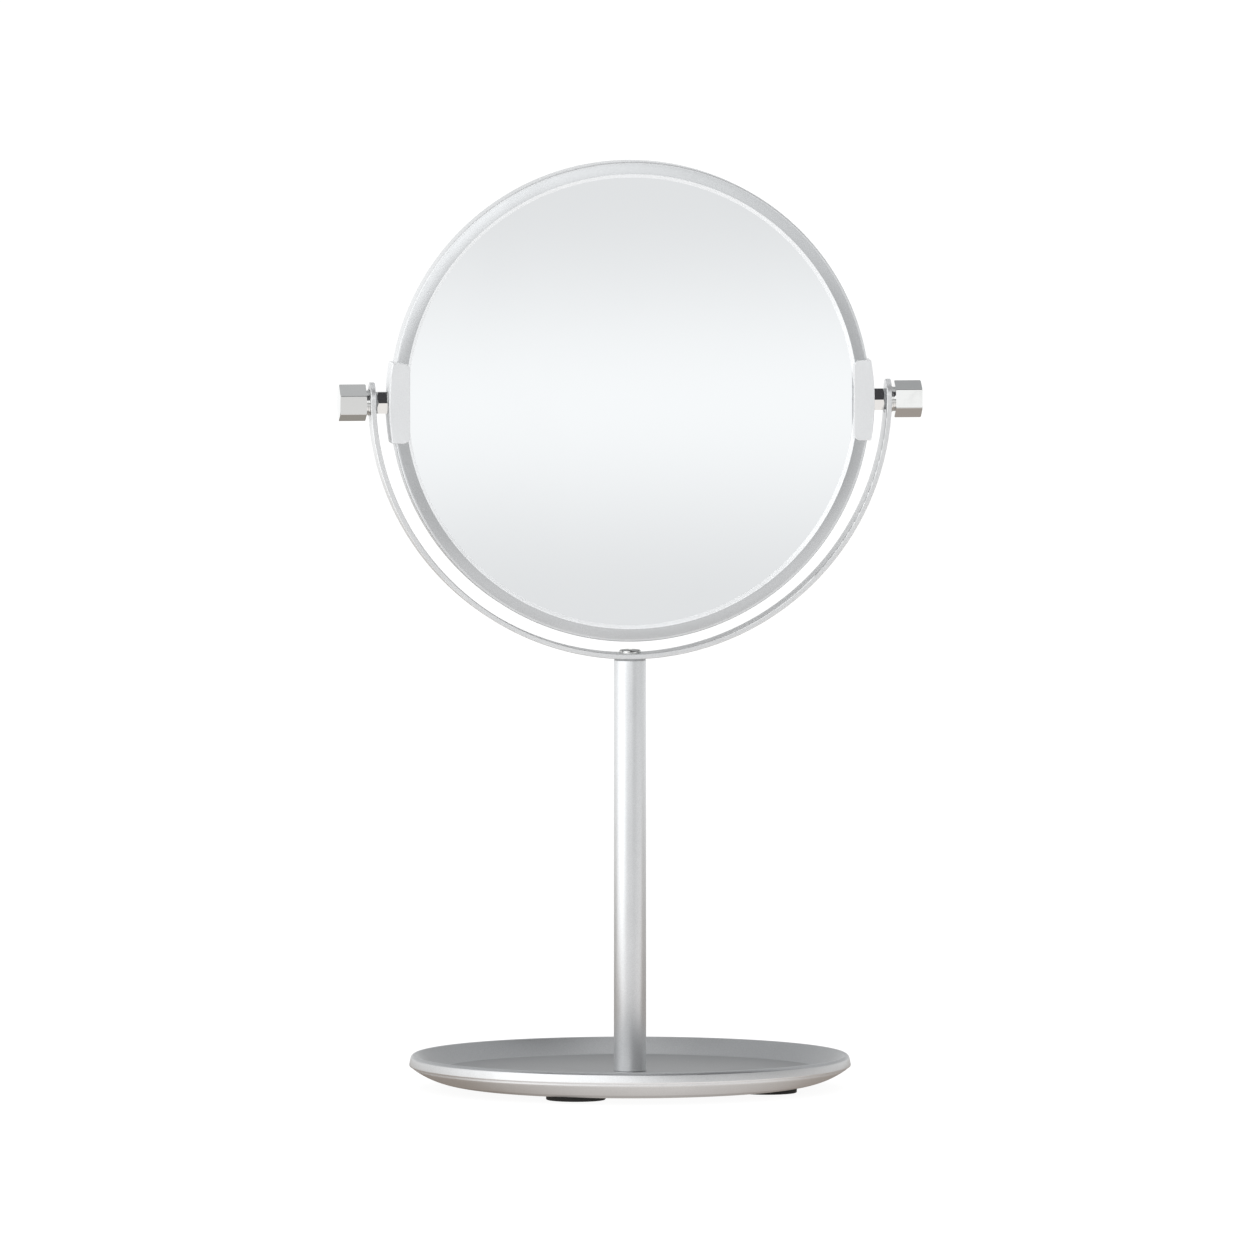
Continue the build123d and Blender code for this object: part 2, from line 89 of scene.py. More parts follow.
class Graph:
    """Adds nodes to one tree and wires them by socket name or number."""

    def __init__(self, tree):
        self.tree = tree

    def node(self, kind, inputs=None, **settings):
        made = self.tree.nodes.new(kind)
        for key, value in settings.items():
            setattr(made, key, value)
        for key, value in (inputs or {}).items():
            if isinstance(value, bpy.types.NodeSocket):
                self.tree.links.new(value, made.inputs[key])
            else:
                made.inputs[key].default_value = value
        return made

    def math(self, operation, first, second=0.0, clamp=False):
        made = self.node("ShaderNodeMath", {0: first, 1: second}, operation=operation, use_clamp=clamp)
        return made.outputs[0]

    def link(self, output, socket):
        self.tree.links.new(output, socket)

    def mix(self, factor, first, second, blend="MIX"):
        made = self.node(
            "ShaderNodeMix", {0: factor, 6: first, 7: second}, data_type="RGBA", blend_type=blend
        )
        return made.outputs[2]

    def ramp(self, value, low, high, to_low=0.0, to_high=1.0):
        made = self.node(
            "ShaderNodeMapRange",
            {"Value": value, "From Min": low, "From Max": high, "To Min": to_low, "To Max": to_high},
            interpolation_type="SMOOTHSTEP",
        )
        return made.outputs["Result"]

    def group(self, tree, inputs=None):
        return self.node("ShaderNodeGroup", inputs, node_tree=tree)


def effect_group(name, inputs, outputs):
    """Empty shader node group with named sockets; returns its tree, graph, inputs and output node."""
    tree = bpy.data.node_groups.new(name, "ShaderNodeTree")
    for label, kind, default in inputs:
        socket = tree.interface.new_socket(label, in_out="INPUT", socket_type=kind)
        socket.default_value = default
    for label, kind in outputs:
        tree.interface.new_socket(label, in_out="OUTPUT", socket_type=kind)
    graph = Graph(tree)
    return tree, graph, graph.node("NodeGroupInput").outputs, graph.node("NodeGroupOutput")


def object_place(graph, scale=(1.0, 1.0, 1.0)):
    """Object coordinates, stretched by scale."""
    place = graph.node("ShaderNodeTexCoord").outputs["Object"]
    return graph.node("ShaderNodeMapping", {"Vector": place, "Scale": scale}).outputs["Vector"]


FLOAT = "NodeSocketFloat"
COLOR = "NodeSocketColor"
VECTOR = "NodeSocketVector"


def metal_flake_group():
    """Aluminium flakes in a lacquer: every small cell gets its own brightness, under a faint cloudiness."""
    tree, graph, given, out = effect_group(
        "metal_flake",
        [("Colour", COLOR, (0.7, 0.7, 0.7, 1)), ("Flake Size mm", FLOAT, 0.2), ("Contrast", FLOAT, 0.15)],
        [("Colour", COLOR), ("Roughness Shift", FLOAT), ("Height", FLOAT)],
    )
    place = object_place(graph)
    density = graph.math("DIVIDE", 1000.0, given["Flake Size mm"])
    cells = graph.node("ShaderNodeTexVoronoi", {"Vector": place, "Scale": density}, feature="F1")
    grey = graph.node("ShaderNodeRGBToBW", {"Color": cells.outputs["Color"]}).outputs[0]
    centred = graph.math("SUBTRACT", grey, 0.5)
    cloud = graph.node("ShaderNodeTexNoise", {"Vector": place, "Scale": 45.0, "Detail": 3.0}).outputs["Fac"]
    cloud_shift = graph.math("MULTIPLY", graph.math("SUBTRACT", cloud, 0.5), 0.12)
    gain = graph.math("MULTIPLY_ADD", centred, given["Contrast"])
    gain.node.inputs[2].default_value = 1.0
    total = graph.math("ADD", gain, cloud_shift)
    colour = graph.mix(1.0, given["Colour"], total, blend="MULTIPLY")
    graph.link(colour, out.inputs["Colour"])
    shift = graph.math("MULTIPLY", graph.math("SUBTRACT", cloud, 0.5), 0.10)
    graph.link(shift, out.inputs["Roughness Shift"])
    peel = graph.node("ShaderNodeTexNoise", {"Vector": place, "Scale": 900.0, "Detail": 2.0}).outputs["Fac"]
    height = graph.math("ADD", graph.math("MULTIPLY", grey, 0.35), peel)
    graph.link(height, out.inputs["Height"])
    return tree


def handling_group():
    """Faint wipe marks and finger haze: stretched noise that lifts the roughness a little."""
    tree, graph, given, out = effect_group(
        "handling_haze",
        [("Amount", FLOAT, 0.1), ("Size mm", FLOAT, 20.0)],
        [("Roughness Shift", FLOAT), ("Mask", FLOAT)],
    )
    place = object_place(graph, (1.0, 1.0, 0.45))
    density = graph.math("DIVIDE", 1000.0, given["Size mm"])
    noise = graph.node(
        "ShaderNodeTexNoise", {"Vector": place, "Scale": density, "Detail": 4.0, "Distortion": 0.6}
    ).outputs["Fac"]
    mask = graph.ramp(noise, 0.5, 0.75)
    graph.link(graph.math("MULTIPLY", mask, given["Amount"]), out.inputs["Roughness Shift"])
    graph.link(mask, out.inputs["Mask"])
    return tree


def dust_group():
    """Dust that settles on faces that look up: some of the small cells hold a speck."""
    tree, graph, given, out = effect_group(
        "settled_dust",
        [("Speck Size mm", FLOAT, 0.8), ("Amount", FLOAT, 0.3)],
        [("Mask", FLOAT)],
    )
    place = object_place(graph)
    density = graph.math("DIVIDE", 1000.0, given["Speck Size mm"])
    cells = graph.node("ShaderNodeTexVoronoi", {"Vector": place, "Scale": density, "Randomness": 1.0})
    speck = graph.ramp(cells.outputs["Distance"], 0.16, 0.07)
    chance = graph.node("ShaderNodeRGBToBW", {"Color": cells.outputs["Color"]}).outputs[0]
    kept = graph.ramp(chance, 0.70, 0.74)
    normal = graph.node("ShaderNodeNewGeometry").outputs["Normal"]
    upward = graph.ramp(graph.node("ShaderNodeSeparateXYZ", {0: normal}).outputs["Z"], 0.4, 0.95)
    mask = graph.math("MULTIPLY", graph.math("MULTIPLY", speck, kept), upward)
    graph.link(graph.math("MULTIPLY", mask, given["Amount"], clamp=True), out.inputs["Mask"])
    return tree


def edge_wear_and_highlight_group():
    """Edges where the finish is worn thin, and a painted highlight where edges catch light: how far the normal
    turns within a small radius, broken up by noise.
    """
    tree, graph, given, out = effect_group(
        "edge_shine",
        [("Radius mm", FLOAT, 0.3), ("Amount", FLOAT, 0.5)],
        [("Mask", FLOAT)],
    )
    radius = graph.math("MULTIPLY", given["Radius mm"], MM)
    rounded = graph.node("ShaderNodeBevel", {"Radius": radius}, samples=4).outputs["Normal"]
    flat = graph.node("ShaderNodeNewGeometry").outputs["Normal"]
    turn = graph.node("ShaderNodeVectorMath", {0: rounded, 1: flat}, operation="DOT_PRODUCT")
    edge = graph.ramp(turn.outputs["Value"], 0.96, 0.80)
    noise = graph.node("ShaderNodeTexNoise", {"Vector": object_place(graph), "Scale": 320.0, "Detail": 3.0})
    broken = graph.ramp(noise.outputs["Fac"], 0.35, 0.6, 0.4, 1.0)
    mask = graph.math("MULTIPLY", edge, broken)
    graph.link(graph.math("MULTIPLY", mask, given["Amount"], clamp=True), out.inputs["Mask"])
    return tree


def draw_lines_group():
    """Polishing lines of drawn bar: noise stretched along the bar, as height and as roughness."""
    tree, graph, given, out = effect_group(
        "draw_lines",
        [("Pitch mm", FLOAT, 0.15), ("Amount", FLOAT, 0.05)],
        [("Roughness Shift", FLOAT), ("Height", FLOAT)],
    )
    place = object_place(graph, (0.02, 1.0, 1.0))
    density = graph.math("DIVIDE", 1000.0, given["Pitch mm"])
    noise = graph.node("ShaderNodeTexNoise", {"Vector": place, "Scale": density, "Detail": 3.0})
    lines = noise.outputs["Fac"]
    graph.link(graph.math("MULTIPLY", lines, given["Amount"]), out.inputs["Roughness Shift"])
    graph.link(lines, out.inputs["Height"])
    return tree


def hollow_group():
    """Inside of a dish round the Z axis: one within the radius and below the height, with soft limits."""
    tree, graph, given, out = effect_group(
        "dish_inside",
        [("Radius mm", FLOAT, 80.0), ("Height mm", FLOAT, 12.0)],
        [("Mask", FLOAT)],
    )
    place = graph.node("ShaderNodeTexCoord").outputs["Object"]
    flat = graph.node("ShaderNodeVectorMath", {0: place, 1: (1.0, 1.0, 0.0)}, operation="MULTIPLY").outputs[0]
    reach = graph.node("ShaderNodeVectorMath", {0: flat}, operation="LENGTH").outputs["Value"]
    beyond = graph.math("SUBTRACT", reach, graph.math("MULTIPLY", given["Radius mm"], MM))
    within = graph.ramp(beyond, 0.0005, -0.0010)
    height = graph.node("ShaderNodeSeparateXYZ", {0: place}).outputs["Z"]
    above = graph.math("SUBTRACT", height, graph.math("MULTIPLY", given["Height mm"], MM))
    below = graph.ramp(above, 0.0003, -0.0004)
    graph.link(graph.math("MULTIPLY", within, below), out.inputs["Mask"])
    return tree


def hoop_group(name, near_mm, full_mm):
    """Ring-shaped zone of a hoop whose axis runs along Y: none at near_mm from it, full at full_mm."""
    tree, graph, given, out = effect_group(name, [("Axis Height mm", FLOAT, 255.0)], [("Mask", FLOAT)])
    place = graph.node("ShaderNodeTexCoord").outputs["Object"]
    parts = graph.node("ShaderNodeSeparateXYZ", {0: place}).outputs
    rise = graph.math("SUBTRACT", parts["Z"], graph.math("MULTIPLY", given["Axis Height mm"], MM))
    square = graph.math("ADD", graph.math("POWER", parts["X"], 2.0), graph.math("POWER", rise, 2.0))
    reach = graph.math("SQRT", square)
    mask = graph.ramp(reach, near_mm * MM, full_mm * MM)
    graph.link(mask, out.inputs["Mask"])
    return tree


FLAKE = metal_flake_group()
HOLLOW = hollow_group()
HOOP_WALL = hoop_group("hoop_wall", 87.9, 88.2)
HOOP_LIP = hoop_group("hoop_lip", 84.35, 84.15)
HAZE = handling_group()
DUST = dust_group()
EDGE_WEAR_AND_HIGHLIGHT = edge_wear_and_highlight_group()
LINES = draw_lines_group()


def new_material(name):
    """Material with an empty Principled shader, its graph, and the shader node."""
    material = bpy.data.materials.new(name)
    material.use_nodes = True
    tree = material.node_tree
    tree.nodes.clear()
    graph = Graph(tree)
    shader = graph.node("ShaderNodeBsdfPrincipled")
    graph.node("ShaderNodeOutputMaterial", {"Surface": shader.outputs["BSDF"]})
    return material, graph, shader


def satin_lacquer(
    name, colour, roughness, metallic=1.0, dust=0.0, flake=0.2, haze=0.05, zones=(), edge=0.5, edge_mm=0.35
):
    """Silver lacquer over steel: flakes, a little orange peel, thin bright edges that are partly worn lacquer and
    partly painted highlight, and settled dust.

    Each zone is (effect group, its inputs, tone, metallic share): where its mask is on, the lacquer's colour
    is multiplied by the tone and its metallic share moves to the one given.
    """
    material, graph, shader = new_material(name)
    flakes = graph.group(FLAKE, {"Colour": (*colour, 1), "Flake Size mm": flake, "Contrast": 0.16})
    marks = graph.group(HAZE, {"Amount": haze, "Size mm": 24.0})
    edges = graph.group(EDGE_WEAR_AND_HIGHLIGHT, {"Radius mm": edge_mm, "Amount": edge})
    dirt = graph.group(DUST, {"Speck Size mm": 2.4, "Amount": dust})
    # edge colour: partly worn lacquer, partly a painted highlight
    bright = tuple(min(1.0, 1.25 * c) for c in colour)
    base = graph.mix(edges.outputs["Mask"], flakes.outputs["Colour"], (*bright, 1))
    metal = metallic
    for group, inputs, tone, share in zones:
        mask = graph.group(group, inputs).outputs["Mask"]
        base = graph.mix(mask, base, (tone, tone, tone, 1), blend="MULTIPLY")
        metal = graph.ramp(mask, 0.0, 1.0, metal, share)
    base = graph.mix(dirt.outputs["Mask"], base, (0.82, 0.81, 0.79, 1))
    graph.link(base, shader.inputs["Base Color"])
    shift = graph.math("ADD", flakes.outputs["Roughness Shift"], marks.outputs["Roughness Shift"])
    polish = graph.math("MULTIPLY", edges.outputs["Mask"], -0.08)
    rough = graph.math("ADD", graph.math("ADD", shift, polish), roughness, clamp=True)
    graph.link(rough, shader.inputs["Roughness"])
    if zones:
        graph.link(metal, shader.inputs["Metallic"])
    else:
        shader.inputs["Metallic"].default_value = metallic
    bump = graph.node(
        "ShaderNodeBump", {"Height": flakes.outputs["Height"], "Strength": 0.05, "Distance": 0.02 * MM}
    )
    graph.link(bump.outputs["Normal"], shader.inputs["Normal"])
    return material


def chrome_plate(name):
    """Bright chrome: lines left by polishing along the bar and a little haze."""
    material, graph, shader = new_material(name)
    lines = graph.group(LINES, {"Pitch mm": 0.14, "Amount": 0.05})
    marks = graph.group(HAZE, {"Amount": 0.06, "Size mm": 5.0})
    rough = graph.math("ADD", lines.outputs["Roughness Shift"], marks.outputs["Roughness Shift"])
    rough = graph.math("ADD", rough, 0.03)
    graph.link(rough, shader.inputs["Roughness"])
    shader.inputs["Base Color"].default_value = (0.80, 0.80, 0.79, 1)
    shader.inputs["Metallic"].default_value = 1.0
    bump = graph.node(
        "ShaderNodeBump", {"Height": lines.outputs["Height"], "Strength": 0.04, "Distance": 0.01 * MM}
    )
    graph.link(bump.outputs["Normal"], shader.inputs["Normal"])
    return material


def silvered_glass(name):
    """Silvered float glass: a clean mirror with the faintest wiping haze and a pale green-blue cast."""
    material, graph, shader = new_material(name)
    marks = graph.group(HAZE, {"Amount": 0.02, "Size mm": 60.0})
    graph.link(marks.outputs["Roughness Shift"], shader.inputs["Roughness"])
    cast = graph.mix(marks.outputs["Mask"], (0.935, 0.942, 0.942, 1), (0.925, 0.932, 0.932, 1))
    graph.link(cast, shader.inputs["Base Color"])
    shader.inputs["Metallic"].default_value = 1.0
    return material


def plain_stock(name, colour, roughness, metallic=0.0, grain_mm=0.4, bump_strength=0.2):
    """Hidden or small stock: a fine grain in colour, roughness and height."""
    material, graph, shader = new_material(name)
    place = object_place(graph)
    grain = graph.node(
        "ShaderNodeTexNoise", {"Vector": place, "Scale": 1000.0 / grain_mm, "Detail": 4.0}
    ).outputs["Fac"]
    dark = tuple(0.8 * c for c in colour)
    base = graph.mix(grain, (*dark, 1), (*colour, 1))
    graph.link(base, shader.inputs["Base Color"])
    rough = graph.ramp(grain, 0.3, 0.7, roughness - 0.06, roughness + 0.06)
    graph.link(rough, shader.inputs["Roughness"])
    shader.inputs["Metallic"].default_value = metallic
    bump = graph.node(
        "ShaderNodeBump", {"Height": grain, "Strength": bump_strength, "Distance": 0.05 * MM}
    )
    graph.link(bump.outputs["Normal"], shader.inputs["Normal"])
    return material


# ---------------------------------------------------------------- finishes on the frame's own pieces

TRAY_PAINTED_SHADE_ZONES = (
    (HOLLOW, {"Radius mm": 80.0, "Height mm": 12.6}, 0.86, 1.0),
    (HOLLOW, {"Radius mm": 72.4, "Height mm": 7.4}, 0.74, 1.0),
)  # the tray's wall and floor, and the shell under them: painted shade, the lacquer's colour darkened in the tray's hollow
HOOP_ZONES = (
    (HOOP_WALL, {"Axis Height mm": PIVOT_Z / MM}, 1.0, 0.45),
    # painted highlight: the lip's colour is multiplied by 1.28
    (HOOP_LIP, {"Axis Height mm": PIVOT_Z / MM}, 1.28, 0.1),
)  # the drawn wall is more matt than the band; the lip is more matt and painted paler, a painted highlight

FINISHES = {
    # the base's lacquer carries painted shade in the tray's hollow through its zones
    "base_silver": satin_lacquer("base_lacquer", (0.76, 0.765, 0.77), 0.36, dust=0.5, zones=TRAY_PAINTED_SHADE_ZONES),
    "tube_silver": satin_lacquer(
        "tube_lacquer", (0.77, 0.78, 0.79), 0.31, metallic=0.9, haze=0.015, edge=0.0
    ),
    "yoke_silver": satin_lacquer("yoke_lacquer", (0.80, 0.805, 0.81), 0.34, metallic=0.7, edge=0.15),
    "ring_silver": satin_lacquer("ring_lacquer", (0.73, 0.74, 0.75), 0.24, zones=HOOP_ZONES),
    # full edge brightening on the clips: a painted highlight along their edges
    "clip_silver": satin_lacquer(
        "clip_lacquer", (0.80, 0.81, 0.82), 0.50, metallic=0.35, flake=0.12, edge=1.0, edge_mm=0.8
    ),
    "polished_chrome": chrome_plate("chrome_plate"),
    "mirror_glass": silvered_glass("silvered_glass"),
    "foot_rubber": plain_stock("foot_rubber", (0.012, 0.012, 0.012), 0.7),
    "zinc_steel": plain_stock("zinc_steel", (0.55, 0.55, 0.53), 0.32, metallic=1.0),
    "grey_plastic": plain_stock("grey_plastic", (0.42, 0.43, 0.44), 0.5),
    "pad_foam": plain_stock("pad_foam", (0.78, 0.78, 0.75), 0.85, grain_mm=0.8, bump_strength=0.6),
}


def dress_frame():
    """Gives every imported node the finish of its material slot."""
    slots = {part["node"]: part["material_slot"] for part in frame["record"]["subparts"]}
    for name, node in frame["nodes"].items():
        finish = FINISHES[slots[name]]
        if not node.material_slots:
            node.data.materials.append(finish)
        for material_slot in node.material_slots:
            material_slot.material = finish


# ---------------------------------------------------------------- turned pieces
# Finer skins for the round pieces, so that their reflections run smoothly. Their sizes are in millimetres,
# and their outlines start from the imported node's own limits.

TUBE_WALL = 1.0
TRAY_SHEET = 1.2
PAN_SHEET = 1.0
BOLT_HOLE = 3.3  # radius of the hole in the tray and pan
HOOP_SHEET = 0.8
SEAM_DEPTH = 1.5  # from either face of the mirror back to the edge of the hoop's outer wall
SEAM_GAP = 0.02
SKIRT_GAP = 0.05
SKIRT_END = 1.5  # how near the bezel's skirt comes to the middle of the hoop
GLASS_SPHERE = 1500.0
GLASS_THICK = 2.0
ROUND_ABOUT = 360  # steps round the hoop and the glass
BASE_ABOUT = 320


def rounded_outline(corners, steps=7):
    """Closed outline through corners (reach, along, rounding) in millimetres, as points in metres.

    A rounded corner becomes the arc that touches both of its sides: its centre lies on the bisector, at
    rounding / sin(half the corner's angle) from the corner.
    """
    outline = []
    for k, (reach, along, rounding) in enumerate(corners):
        here = np.array((reach, along))
        if not rounding:
            outline.append(here)
            continue
        before = np.array(corners[k - 1][:2]) - here
        after = np.array(corners[(k + 1) % len(corners)][:2]) - here
        before /= np.linalg.norm(before)
        after /= np.linalg.norm(after)
        half = math.acos(float(before @ after)) / 2
        middle = (before + after) / np.linalg.norm(before + after)
        centre = here + middle * rounding / math.sin(half)
        touch = rounding / math.tan(half)
        first = here + before * touch - centre
        last = here + after * touch - centre
        start = math.atan2(first[1], first[0])
        sweep = (math.atan2(last[1], last[0]) - start + math.pi) % FULL_TURN - math.pi
        angles = start + sweep * np.linspace(0.0, 1.0, steps)
        outline.extend(centre + rounding * np.stack((np.cos(angles), np.sin(angles)), axis=1))
    return np.array(outline) * MM


def turned(name, outline, body, node, along_y_at=None, around=240):
    """Skin swept by a closed outline round an axis: reach cos(turn), reach sin(turn), along.

    The axis is Z, or, with along_y_at, the line along Y at that height. An outline that starts and ends on
    the axis closes there in two poles. The piece takes the node's place, body and material slot.
    """
    following = np.roll(outline, -1, axis=0)
    area = np.sum(outline[:, 0] * following[:, 1] - following[:, 0] * outline[:, 1])
    if area < 0:
        outline = outline[::-1]
    poles = outline[0, 0] == 0 and outline[-1, 0] == 0
    rows = outline[1:-1] if poles else outline
    turn = np.arange(around) * FULL_TURN / around
    across = rows[:, :1] * np.cos(turn)
    over = rows[:, :1] * np.sin(turn)
    along = np.repeat(rows[:, 1:], around, axis=1)
    points = np.stack((across, over, along), axis=-1).reshape(-1, 3)
    count = len(rows)
    row = np.arange(count - 1 if poles else count)
    low = row[:, None] * around + np.arange(around)
    low_next = row[:, None] * around + (np.arange(around) + 1) % around
    high = (row[:, None] + 1) % count * around + np.arange(around)
    high_next = (row[:, None] + 1) % count * around + (np.arange(around) + 1) % around
    faces = np.stack((low, low_next, high_next, high), axis=-1).reshape(-1, 4).tolist()
    if poles:
        points = np.vstack((points, (0, 0, outline[0, 1]), (0, 0, outline[-1, 1])))
        start, end = len(points) - 2, len(points) - 1
        ring = np.arange(around)
        ring_next = (ring + 1) % around
        last = (count - 1) * around
        faces += np.stack((np.full(around, start), ring_next, ring), axis=-1).tolist()
        faces += np.stack((np.full(around, end), last + ring, last + ring_next), axis=-1).tolist()
    if along_y_at is not None:
        # the quarter turn about X that lays the axis along Y keeps the outward side outward
        points = np.stack((points[:, 0], points[:, 2], along_y_at - points[:, 1]), axis=-1)
    mesh = bpy.data.meshes.new(name)
    mesh.from_pydata(points.tolist(), [], faces)
    mesh.shade_smooth()
    mesh.set_sharp_from_angle(angle=math.radians(32))
    slot = next(part["material_slot"] for part in frame["record"]["subparts"] if part["node"] == node)
    mesh.materials.append(FINISHES[slot])
    piece = bpy.data.objects.new(name, mesh)
    bpy.context.scene.collection.objects.link(piece)
    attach(piece, body)
    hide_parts(node)
    return piece


def extents_mm(node):
    """Half width, lowest and highest Z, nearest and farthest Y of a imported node, in millimetres."""
    low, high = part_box(node)
    return high[0] / MM, low[2] / MM, high[2] / MM, low[1] / MM, high[1] / MM


def make_stem_skin():
    """Stem: a tube with softened ends."""
    radius, foot, top, _, _ = extents_mm("stem_tube")
    bore = radius - TUBE_WALL
    corners = [(bore, foot, 0), (radius, foot, 0.25), (radius, top, 0.25), (bore, top, 0)]
    turned("stem_skin", rounded_outline(corners), "stand", "stem_tube", around=160)


def make_tray_skin():
    """Tray: flat floor, sloping wall, round ridge and a band that flares down to the widest circle."""
    radius, under, rim, _, _ = extents_mm("base_tray")
    floor = under + TRAY_SHEET
    corners = [
        (BOLT_HOLE, under, 0),
        (radius - 8.6, under, 0),
        (radius - 2.4, rim - 1.8, 0),
        (radius - 1.75, rim - 1.5, 0),
        (radius - 1.2, rim - 4.2, 0),
        (radius, rim - 4.2, 0.5),
        (radius - 0.65, rim - 0.9, 0.9),
        (radius - 1.45, rim, 0.95),
        (radius - 2.45, rim, 0.95),
        (radius - 3.1, rim - 0.8, 0),
        (radius - 9.0, floor, 1.6),
        (BOLT_HOLE, floor, 0),
    ]
    turned("tray_skin", rounded_outline(corners), "stand", "base_tray", around=BASE_ABOUT)


def make_pan_skin():
    """Lower shell: flat underside and a side that curves up to the tray's band.

    The side is an arc that leaves the flat level and reaches (run, rise) from its edge, so its radius is
    (run squared + rise squared) / (2 rise). A dimple round the bolt lies above the underside.
    """
    radius, foot, top, _, _ = extents_mm("base_pan")
    flat = radius - 18.4
    edge_z = top - 1.8
    rise = edge_z - foot
    run = radius - flat
    bend = (run**2 + rise**2) / (2 * rise)
    reach = np.linspace(flat, radius, 14)
    curve = foot + bend - np.sqrt(bend**2 - (reach - flat) ** 2)
    outside = list(zip(reach, curve))
    inner_reach = np.linspace(radius - PAN_SHEET, flat, 10)
    inner_curve = foot + bend - np.sqrt((bend - PAN_SHEET) ** 2 - (inner_reach - flat) ** 2)
    inside = list(zip(inner_reach, inner_curve))
    dimple = [
        (14.5, foot + PAN_SHEET),
        (11.5, 5.2),
        (BOLT_HOLE, 5.2),
        (BOLT_HOLE, 4.2),
        (11, 4.2),
        (14, foot),
    ]
    edge = [(radius, top), (radius - PAN_SHEET, top)]
    outline = np.array(outside + edge + inside + dimple) * MM
    turned("pan_skin", outline, "stand", "base_pan", around=BASE_ABOUT)


def hoop_corners(radius, face, side):
    """Corners of a hoop's pressed face: outer wall, rounded corner, coned band and lip to the glass.

    Side is -1 for the front and 1 for the rear.
    """
    return [
        (radius, side * (face - SEAM_DEPTH), 0),
        (radius, side * (face - 0.6), 0.75),
        (radius - 4.9, side * face, 0.25),
        (radius - 6.1, side * (face - 1.85), 0),
        (radius - 5.4, side * (face - 1.85), 0),
        (radius - 4.5, side * (face - 0.9), 0),
    ]


def hoop_turn(corners, name, node):
    """Skin of a hoop round the mirror's own axis."""
    outline = rounded_outline(corners)
    turned(name, outline, "mirror", node, along_y_at=PIVOT_Z, around=ROUND_ABOUT)


def make_hoop_skins():
    """Front hoop with its wall, and the rear bezel with its skirt inside that wall."""
    radius, _, _, front, _ = extents_mm("mirror_ring")
    face = -front
    seam = face - SEAM_DEPTH
    wall = radius - HOOP_SHEET
    hoop = hoop_corners(radius, face, -1) + [(wall, -seam, 0), (wall, seam, 0), (radius, seam, 0)]
    hoop_turn(hoop, "hoop_skin", "mirror_ring")
    skirt = wall - SKIRT_GAP
    inside = skirt - HOOP_SHEET
    start = seam + SEAM_GAP
    bezel = hoop_corners(radius, face, 1)
    bezel[0] = (radius, start, 0)
    bezel += [(inside, seam - 0.8, 0), (inside, SKIRT_END, 0), (skirt, SKIRT_END, 0), (skirt, start, 0)]
    hoop_turn(bezel, "bezel_skin", "rear_bezel")


def make_magnifier_skin():
    """Concave glass, dished as seen from behind: both faces rise by reach squared / (2 sphere radius)."""
    radius, _, _, _, far = extents_mm("rear_magnifying_glass")
    reach = np.linspace(0.0, radius, 40)
    sag = reach**2 / (2 * GLASS_SPHERE)
    face = far - sag[-1] + sag
    front = np.stack((reach, face - GLASS_THICK), axis=1)
    rear = np.stack((reach, face), axis=1)[::-1]
    outline = np.vstack((front, rear)) * MM
    node = "rear_magnifying_glass"
    turned("magnifier_skin", outline, "mirror", node, along_y_at=PIVOT_Z, around=ROUND_ABOUT)


# ---------------------------------------------------------------- floor and light


def flat_sheet(name, corners, material):
    """Flat four-cornered stage sheet."""
    mesh = bpy.data.meshes.new(name)
    mesh.from_pydata(corners, [], [(0, 1, 2, 3)])
    mesh.materials.append(material)
    sheet = bpy.data.objects.new(name, mesh)
    bpy.context.scene.collection.objects.link(sheet)
    return sheet


LOW_TONES = (
    (-180, 0.90),
    (-140, 0.90),
    (-112, 1.02),
    (-86, 1.28),
    (-60, 1.65),
    (-40, 1.35),
    (-22, 0.50),
    (-6, 0.24),
    (14, 0.24),
    (26, 0.24),
    (40, 0.45),
    (58, 0.85),
    (80, 0.88),
    (110, 0.80),
    (140, 0.88),
    (180, 0.90),
)  # what glossy surfaces see round the horizon: degrees to the right of the camera, and brightness

RAISED_TONES = (
    (-180, 0.42),
    (-135, 0.60),
    (-112, 0.90),
    (-90, 1.30),
    (-60, 1.50),
    (-6, 1.40),
    (12, 1.15),
    (24, 0.78),
    (60, 0.62),
    (90, 0.40),
    (180, 0.42),
)  # the same, from a hand's breadth above the horizon


def tone_ramp(graph, share, tones, first, last):
    """Colour ramp over a table of (position, brightness), positions running from first to last."""
    ramp = graph.node("ShaderNodeValToRGB", {"Fac": share})
    stops = ramp.color_ramp.elements
    for _ in tones[1:-1]:
        stops.new(0.5)
    for stop, (place, tone) in zip(stops, tones):
        stop.position = (place - first) / (last - first)
        stop.color = tone if isinstance(tone, tuple) else (tone, 1.01 * tone, 1.015 * tone, 1)
    return ramp.outputs["Color"]


def studio_round_group():
    """Brightness of the walls by the compass angle of a direction, counted from the camera's side."""
    tree, graph, given, out = effect_group(
        "studio_round",
        [("Direction", VECTOR, (0, -1, 0))],
        [("Low Tone", COLOR), ("Raised Tone", COLOR)],
    )
    facing = graph.node(
        "ShaderNodeVectorRotate",
        {"Vector": given["Direction"], "Angle": -VIEW_AZIMUTH},
        rotation_type="Z_AXIS",
    )
    parts = graph.node("ShaderNodeSeparateXYZ", {0: facing.outputs[0]}).outputs
    angle = graph.math("ARCTAN2", parts["X"], graph.math("MULTIPLY", parts["Y"], -1.0))
    share = graph.math("ADD", graph.math("DIVIDE", angle, FULL_TURN), 0.5)
    graph.link(tone_ramp(graph, share, LOW_TONES, -180, 180), out.inputs["Low Tone"])
    graph.link(tone_ramp(graph, share, RAISED_TONES, -180, 180), out.inputs["Raised Tone"])
    return tree


STUDIO_ROUND = studio_round_group()

FLOOR_REACH = 14.0
FLOOR_PAINT = (0.11, 0.11, 0.11, 1)
FLOOR_GLOW = (0.93, 0.93, 0.93, 1)

